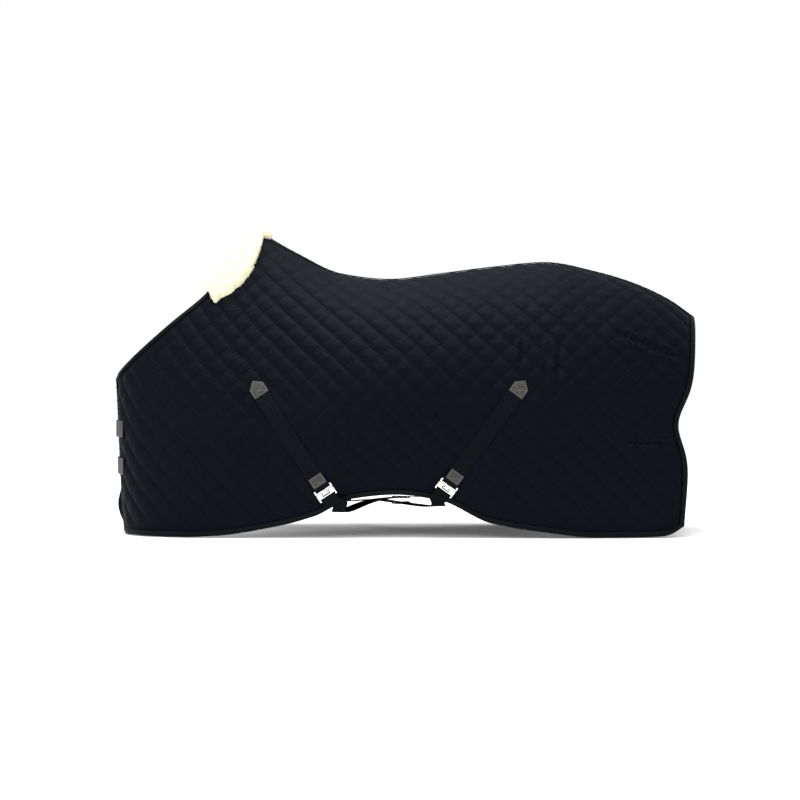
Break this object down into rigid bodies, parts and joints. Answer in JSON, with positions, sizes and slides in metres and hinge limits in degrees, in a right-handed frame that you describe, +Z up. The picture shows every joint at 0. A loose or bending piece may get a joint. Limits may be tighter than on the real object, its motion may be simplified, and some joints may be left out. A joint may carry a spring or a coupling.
{
  "type": "stable rug",
  "caption": "Diamond-quilted padded horse rug with bound edges, a fleece wither guard, crossed belly straps with hook clips and buckled chest straps.",
  "frame": {"origin": "under the middle of the rug, on the surface its hem rests on", "axes": "+X towards the tail, -Y the near (left) side with the hook clips, +Z up"},
  "size_m": [1.7954, 0.651, 0.9435],
  "materials": {
    "quilted_fabric": "matt woven polycotton, quilted in diamonds",
    "lining_fabric": "smooth woven lining",
    "wadding_fibre": "needled polyester wadding",
    "binding_tape": "folded woven tape",
    "fleece_pile": "thick cream pile",
    "grey_patch": "stitched grey patch cloth",
    "navy_webbing": "ribbed polypropylene webbing",
    "nickel_plate": "nickel-plated, polished"
  },
  "bodies": {
    "root": {"back_seam_tape": "binding_tape", "front_belly_strap": "navy_webbing", "lower_chape": "navy_webbing", "lower_chest_strap": "navy_webbing", "lower_keeper": "navy_webbing", "near_front_binding": "binding_tape", "near_front_patch": "grey_patch", "near_front_strap": "navy_webbing", "near_front_tab": "grey_patch", "near_hem_binding": "binding_tape", "near_lining": "lining_fabric", "near_lower_chest_patch": "grey_patch", "near_neck_binding": "binding_tape", "near_outer_shell": "quilted_fabric", "near_rear_patch": "grey_patch", "near_rear_strap": "navy_webbing", "near_rear_tab": "grey_patch", "near_tail_binding": "binding_tape", "near_upper_chest_patch": "grey_patch", "near_wadding": "wadding_fibre", "off_front_binding": "binding_tape", "off_front_patch": "grey_patch", "off_hem_binding": "binding_tape", "off_lining": "lining_fabric", "off_lower_chest_patch": "grey_patch", "off_neck_binding": "binding_tape", "off_outer_shell": "quilted_fabric", "off_rear_patch": "grey_patch", "off_tail_binding": "binding_tape", "off_upper_chest_patch": "grey_patch", "off_wadding": "wadding_fibre", "rear_belly_strap": "navy_webbing", "upper_chape": "navy_webbing", "upper_chest_strap": "navy_webbing", "upper_keeper": "navy_webbing", "wither_fleece": "fleece_pile"},
    "front_hook_body": {"front_hook": "nickel_plate"},
    "front_plate_body": {"front_eye_plate": "nickel_plate"},
    "rear_hook_body": {"rear_hook": "nickel_plate"},
    "rear_plate_body": {"rear_eye_plate": "nickel_plate"},
    "front_slide_body": {"front_adjuster": "nickel_plate"},
    "rear_slide_body": {"rear_adjuster": "nickel_plate"},
    "upper_frame_body": {"upper_buckle_frame": "nickel_plate"},
    "upper_tongue_body": {"upper_buckle_tongue": "nickel_plate"},
    "upper_roller_body": {"upper_buckle_roller": "nickel_plate"},
    "lower_frame_body": {"lower_buckle_frame": "nickel_plate"},
    "lower_tongue_body": {"lower_buckle_tongue": "nickel_plate"},
    "lower_roller_body": {"lower_buckle_roller": "nickel_plate"}
  },
  "joints": [
    {"name": "front_hook_hinge", "type": "hinge", "parent": "root", "child": "front_hook_body", "pos_m": [-0.24401, -0.30107, 0.15125], "axis": [-0.8365, 0.0208, -0.5476], "range_deg": [-4, 10]},
    {"name": "front_plate_hinge", "type": "hinge", "parent": "root", "child": "front_plate_body", "pos_m": [-0.22557, -0.29516, 0.1233], "axis": [-0.8365, 0.0208, -0.5476], "range_deg": [-9, 3.7]},
    {"name": "front_slide", "type": "slide", "parent": "root", "child": "front_slide_body", "axis": [0.4998, 0.8656, -0.0293], "range_m": [-0.012, 0.012]},
    {"name": "rear_hook_hinge", "type": "hinge", "parent": "root", "child": "rear_hook_body", "pos_m": [0.13298, -0.30293, 0.16445], "axis": [-0.8139, -0.0663, 0.5772], "range_deg": [-4, 10]},
    {"name": "rear_plate_hinge", "type": "hinge", "parent": "root", "child": "rear_plate_body", "pos_m": [0.11352, -0.29403, 0.13803], "axis": [-0.8139, -0.0663, 0.5772], "range_deg": [-9, 3.7]},
    {"name": "rear_slide", "type": "slide", "parent": "root", "child": "rear_slide_body", "axis": [-0.5, 0.866, 0.0105], "range_m": [-0.012, 0.012]},
    {"name": "upper_frame_hinge", "type": "hinge", "parent": "root", "child": "upper_frame_body", "pos_m": [-0.8877, 0.07909, 0.32058], "axis": [0, 0, -1], "range_deg": [0, 8]},
    {"name": "upper_tongue_hinge", "type": "hinge", "parent": "upper_frame_body", "child": "upper_tongue_body", "pos_m": [-0.8877, 0.07909, 0.32058], "axis": [0, 0, -1], "range_deg": [0, 8]},
    {"name": "upper_roller_spin", "type": "hinge", "parent": "upper_frame_body", "child": "upper_roller_body", "pos_m": [-0.89194, 0.04535, 0.32058], "axis": [0, 0, 1], "continuous": true},
    {"name": "lower_frame_hinge", "type": "hinge", "parent": "root", "child": "lower_frame_body", "pos_m": [-0.88279, 0.07902, 0.20758], "axis": [0, 0, -1], "range_deg": [0, 8]},
    {"name": "lower_tongue_hinge", "type": "hinge", "parent": "lower_frame_body", "child": "lower_tongue_body", "pos_m": [-0.88279, 0.07902, 0.20758], "axis": [0, 0, -1], "range_deg": [0, 8]},
    {"name": "lower_roller_spin", "type": "hinge", "parent": "lower_frame_body", "child": "lower_roller_body", "pos_m": [-0.88709, 0.0453, 0.20758], "axis": [0, 0, 1], "continuous": true}
  ],
  "couplings": [
    {"joint": "front_plate_hinge", "follows": "front_hook_hinge", "ratio": -0.89},
    {"joint": "rear_plate_hinge", "follows": "rear_hook_hinge", "ratio": -0.89}
  ]
}
